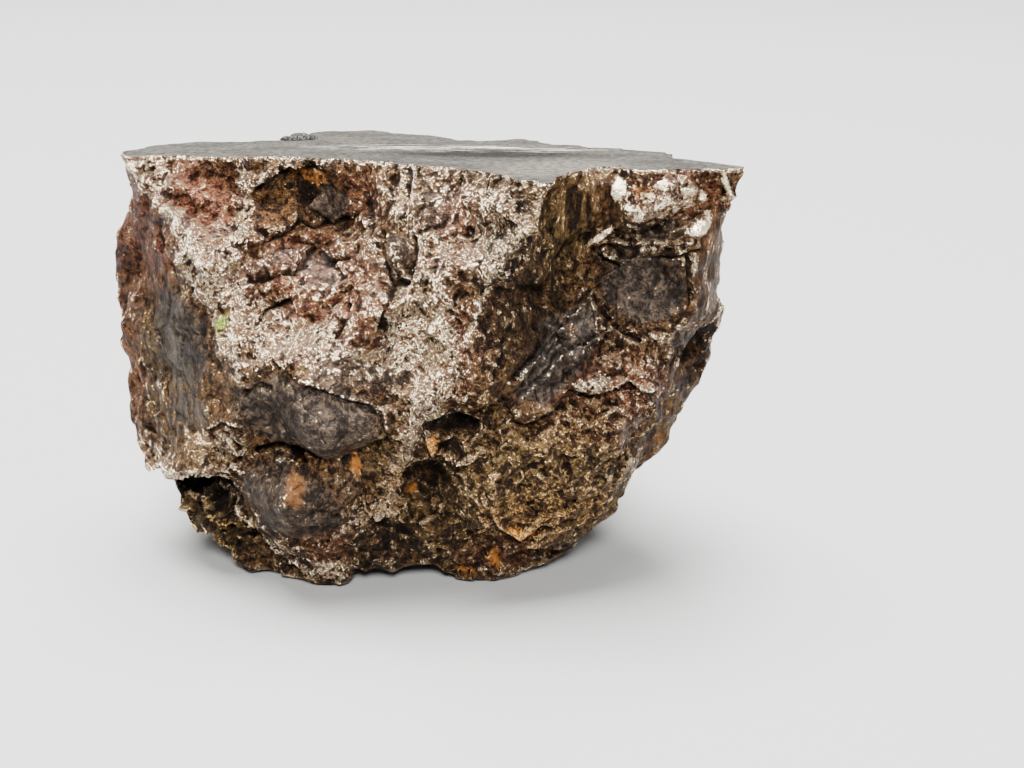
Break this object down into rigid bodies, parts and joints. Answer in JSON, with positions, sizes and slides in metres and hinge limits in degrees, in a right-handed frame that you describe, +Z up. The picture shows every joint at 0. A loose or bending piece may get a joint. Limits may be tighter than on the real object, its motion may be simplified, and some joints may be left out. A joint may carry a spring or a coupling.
{
  "type": "iron meteorite end piece",
  "caption": "Rough iron meteorite end piece with one flat sawn face, standing on its rough side, for display or as a paperweight.",
  "frame": {"origin": "middle of the bounding box, on the surface the stone stands on", "axes": "+Z up, +X along the sawn face's long side, -Y towards the front"},
  "size_m": [0.057, 0.0346, 0.0384],
  "materials": {
    "meteoric_iron": "weathered, rusty crust with worn bright ridges and one ground grey face"
  },
  "bodies": {
    "root": {"meteorite": "meteoric_iron"}
  },
  "joints": []
}
